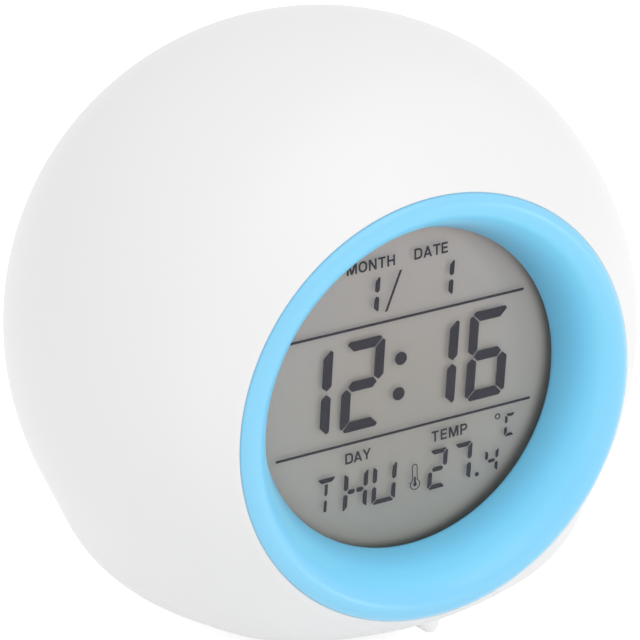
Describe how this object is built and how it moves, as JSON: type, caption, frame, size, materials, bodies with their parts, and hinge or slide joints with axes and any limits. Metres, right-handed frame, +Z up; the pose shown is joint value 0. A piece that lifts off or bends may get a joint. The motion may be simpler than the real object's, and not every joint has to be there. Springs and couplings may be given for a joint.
{
  "type": "kids alarm clock with night light",
  "caption": "Ball-shaped alarm clock: frosted globe night light on short feet, dished front ring around a round display, rear buttons and a battery door underneath.",
  "frame": {"origin": "centre of the bounding box in plan, on the table under the feet", "axes": "+Z up, -Y towards the front with the display, +X to the right seen from the front"},
  "size_m": [0.11, 0.0973, 0.1021],
  "materials": {
    "globe": "frosted, milky and translucent, satin",
    "ring": "satin moulded, light blue",
    "window": "clear, thin and flat",
    "lcd": "grey reflective display film behind thin glass",
    "lcd_ink": "dark display segments",
    "guide": "milky acrylic sheet",
    "holder": "plain moulded",
    "zebra": "soft, striped conductive strip",
    "screw_steel": "zinc plated",
    "board_green": "circuit board with solder mask",
    "chip_black": "fine grained epoxy",
    "can_metal": "plain drawn can",
    "cap_sleeve": "shrink sleeve",
    "sensor_brass": "plain drawn can",
    "board_white": "circuit board with white mask",
    "led_yellow": "phosphor filled lens",
    "diffuser": "frosted, translucent",
    "base_white": "fine spark texture",
    "foot_white": "soft, matte",
    "battery_sleeve": "printed sleeve on a steel can",
    "nickel": "nickel plated",
    "panel_white": "fine spark texture",
    "button_blue": "satin moulded, light blue",
    "switch_black": "plain moulded",
    "cable_grey": "flat ribbon cable",
    "cable_red": "insulated wire pair",
    "cable_black": "insulated wire pair"
  },
  "bodies": {
    "clock": {"globe_shell": "globe", "front_ring": "ring", "display_window": "window", "lcd_glass": "lcd", "lcd_segments": "lcd_ink", "light_guide": "guide", "display_holder": "holder", "contact_strips": "zebra", "ring_screws": "screw_steel", "main_board": "board_green", "board_screws": "screw_steel", "clock_chip": "chip_black", "clock_crystal": "can_metal", "capacitors": "cap_sleeve", "tap_sensor": "sensor_brass", "temperature_sensor": "chip_black", "light_column": "holder", "column_screws": "screw_steel", "light_board": "board_white", "light_board_screws": "screw_steel", "night_light_leds": "led_yellow", "light_diffuser": "diffuser", "base_cover": "base_white", "base_feet": "foot_white", "base_screws": "screw_steel", "buzzer": "chip_black", "battery_1": "battery_sleeve", "battery_2": "battery_sleeve", "battery_3": "battery_sleeve", "contact_springs": "nickel", "contact_plates": "nickel", "rear_panel": "panel_white", "panel_screws": "screw_steel", "button_board": "board_green", "button_board_screws": "screw_steel", "tact_switches": "switch_black", "switch_body": "can_metal", "power_socket": "nickel", "button_cable": "cable_grey", "light_cable": "cable_red", "battery_leads": "cable_red", "buzzer_leads": "cable_black"},
    "battery_door": {"battery_door": "base_white", "door_screw": "screw_steel"},
    "mode_button": {"mode_button": "button_blue"},
    "set_button": {"set_button": "button_blue"},
    "light_button": {"light_button": "button_blue"},
    "up_button": {"up_button": "button_blue"},
    "down_button": {"down_button": "button_blue"},
    "alarm_switch": {"alarm_switch": "button_blue"}
  },
  "joints": [
    {"name": "battery_door_hinge", "type": "hinge", "parent": "clock", "child": "battery_door", "pos_m": [0, -0.02632, 0.0033], "axis": [-1, 0, 0], "range_deg": [0, 80]},
    {"name": "mode_press", "type": "slide", "parent": "clock", "child": "mode_button", "axis": [0, -0.9511, 0.309], "range_m": [0, 0.001], "stiffness_N_per_m": 800, "springref_m": -0.0005},
    {"name": "set_press", "type": "slide", "parent": "clock", "child": "set_button", "axis": [0, -0.9511, 0.309], "range_m": [0, 0.001], "stiffness_N_per_m": 800, "springref_m": -0.0005},
    {"name": "light_press", "type": "slide", "parent": "clock", "child": "light_button", "axis": [0, -0.9511, 0.309], "range_m": [0, 0.001], "stiffness_N_per_m": 800, "springref_m": -0.0005},
    {"name": "up_press", "type": "slide", "parent": "clock", "child": "up_button", "axis": [0, -0.9511, 0.309], "range_m": [0, 0.001], "stiffness_N_per_m": 800, "springref_m": -0.0005},
    {"name": "down_press", "type": "slide", "parent": "clock", "child": "down_button", "axis": [0, -0.9511, 0.309], "range_m": [0, 0.001], "stiffness_N_per_m": 800, "springref_m": -0.0005},
    {"name": "alarm_slide", "type": "slide", "parent": "clock", "child": "alarm_switch", "axis": [1, 0, 0], "range_m": [0, 0.003]}
  ]
}
